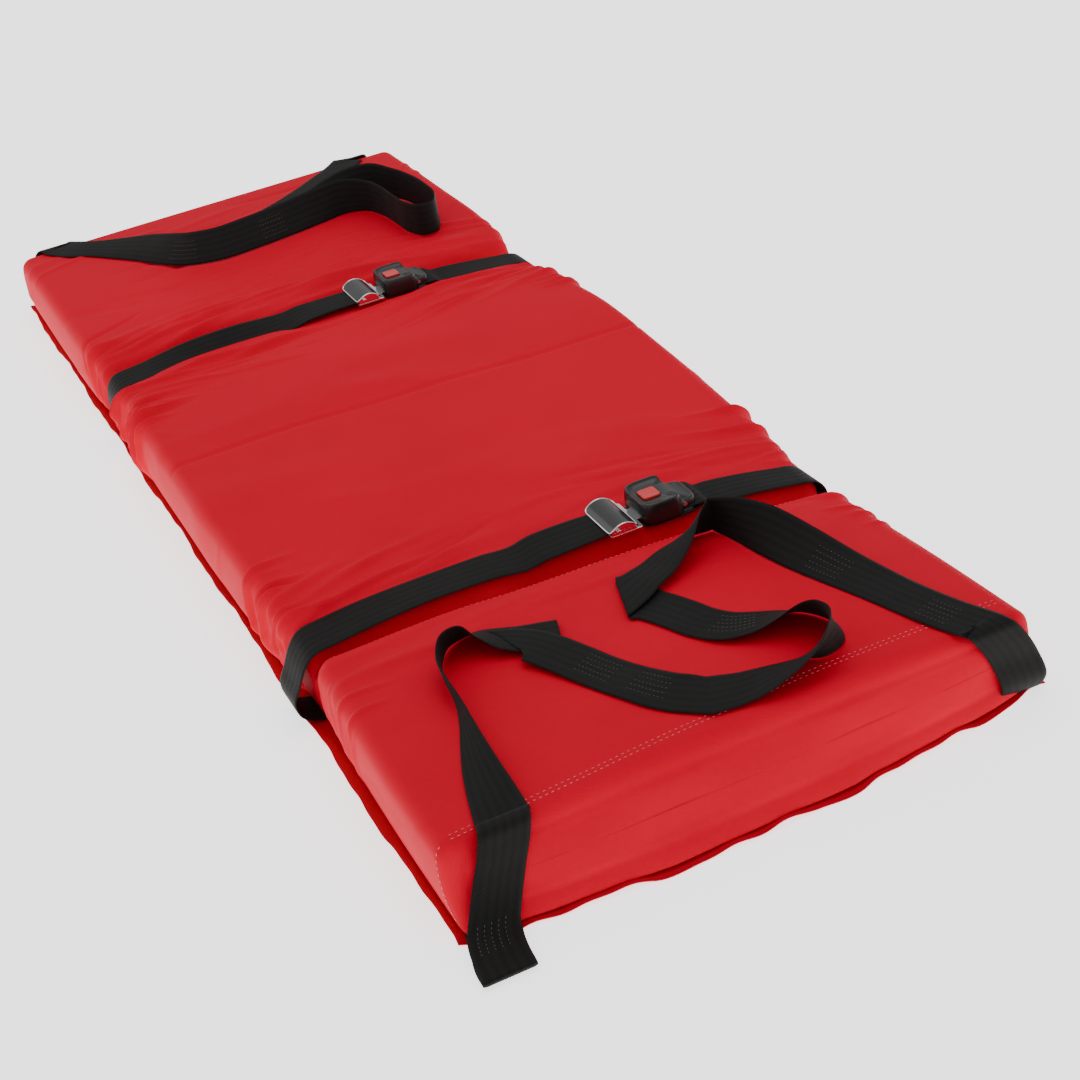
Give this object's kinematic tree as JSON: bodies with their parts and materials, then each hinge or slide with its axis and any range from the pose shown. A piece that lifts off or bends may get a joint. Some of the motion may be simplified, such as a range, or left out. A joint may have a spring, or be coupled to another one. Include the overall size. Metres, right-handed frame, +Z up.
{
  "type": "folding stretcher",
  "caption": "Folding rescue mat in four hinged foam panels under a red coated cloth skin, with two push-button buckled belts across it and a webbing carry strap at each end.",
  "frame": {"origin": "centre of the flat underside of the mat, on the surface it lies on", "axes": "+Y towards the head end, +X towards the buckle side, +Z up"},
  "size_m": [0.6476, 1.814, 0.1306],
  "materials": {
    "red_cover_cloth": "bright red coated cloth, satin",
    "foam": "open-cell foam",
    "red_base_cloth": "red coated ground cloth",
    "black_webbing": "woven black webbing",
    "chrome_plate": "bright chrome plate",
    "black_lacquer": "black satin lacquer on steel",
    "black_moulding": "black moulded plastic, satin with glossy edges",
    "zinc_steel": "zinc-plated pressed steel",
    "red_button_plastic": "red moulded plastic"
  },
  "bodies": {
    "leg_panel": {"leg_cover": "red_cover_cloth", "leg_foam": "foam", "leg_base_sheet": "red_base_cloth", "leg_belt_long": "black_webbing", "leg_belt_short": "black_webbing", "leg_buckle_housing_top": "black_moulding", "leg_buckle_housing_bottom": "black_moulding", "leg_buckle_frame": "zinc_steel", "leg_anchor_bar": "zinc_steel", "leg_latch": "zinc_steel", "leg_button_spring": "zinc_steel"},
    "torso_panel": {"torso_cover": "red_cover_cloth", "torso_foam": "foam", "torso_base_sheet": "red_base_cloth", "chest_belt_long": "black_webbing", "chest_belt_short": "black_webbing", "chest_buckle_housing_top": "black_moulding", "chest_buckle_housing_bottom": "black_moulding", "chest_buckle_frame": "zinc_steel", "chest_anchor_bar": "zinc_steel", "chest_latch": "zinc_steel", "chest_button_spring": "zinc_steel"},
    "head_panel": {"head_cover": "red_cover_cloth", "head_foam": "foam", "head_base_sheet": "red_base_cloth", "head_carry_strap": "black_webbing"},
    "foot_panel": {"foot_cover": "red_cover_cloth", "foot_foam": "foam", "foot_base_sheet": "red_base_cloth", "foot_carry_strap": "black_webbing"},
    "chest_tongue_set": {"chest_tongue_plate": "chrome_plate", "chest_tongue_bracket": "chrome_plate", "chest_tongue_cover_plate": "black_lacquer", "chest_locking_bar": "chrome_plate"},
    "chest_button_body": {"chest_button": "red_button_plastic"},
    "leg_tongue_set": {"leg_tongue_plate": "chrome_plate", "leg_tongue_bracket": "chrome_plate", "leg_tongue_cover_plate": "black_lacquer", "leg_locking_bar": "chrome_plate"},
    "leg_button_body": {"leg_button": "red_button_plastic"}
  },
  "joints": [
    {"name": "mid_fold", "type": "hinge", "parent": "leg_panel", "child": "torso_panel", "pos_m": [0, -0.024, 0.0865], "axis": [1, 0, 0], "range_deg": [0, 170]},
    {"name": "head_fold", "type": "hinge", "parent": "torso_panel", "child": "head_panel", "pos_m": [0, 0.35, 0], "axis": [1, 0, 0], "range_deg": [-160, 0]},
    {"name": "foot_fold", "type": "hinge", "parent": "leg_panel", "child": "foot_panel", "pos_m": [0, -0.488, 0], "axis": [1, 0, 0], "range_deg": [0, 172]},
    {"name": "chest_tongue_slide", "type": "slide", "parent": "torso_panel", "child": "chest_tongue_set", "axis": [-1, 0, 0], "range_m": [0, 0.05]},
    {"name": "chest_button_press", "type": "slide", "parent": "torso_panel", "child": "chest_button_body", "axis": [0, 0, -1], "range_m": [0, 0.003], "stiffness_N_per_m": 600, "springref_m": -0.002, "deforming": ["chest_button_spring"]},
    {"name": "leg_tongue_slide", "type": "slide", "parent": "leg_panel", "child": "leg_tongue_set", "axis": [-1, 0, 0], "range_m": [0, 0.05]},
    {"name": "leg_button_press", "type": "slide", "parent": "leg_panel", "child": "leg_button_body", "axis": [0, 0, -1], "range_m": [0, 0.003], "stiffness_N_per_m": 600, "springref_m": -0.002, "deforming": ["leg_button_spring"]}
  ]
}
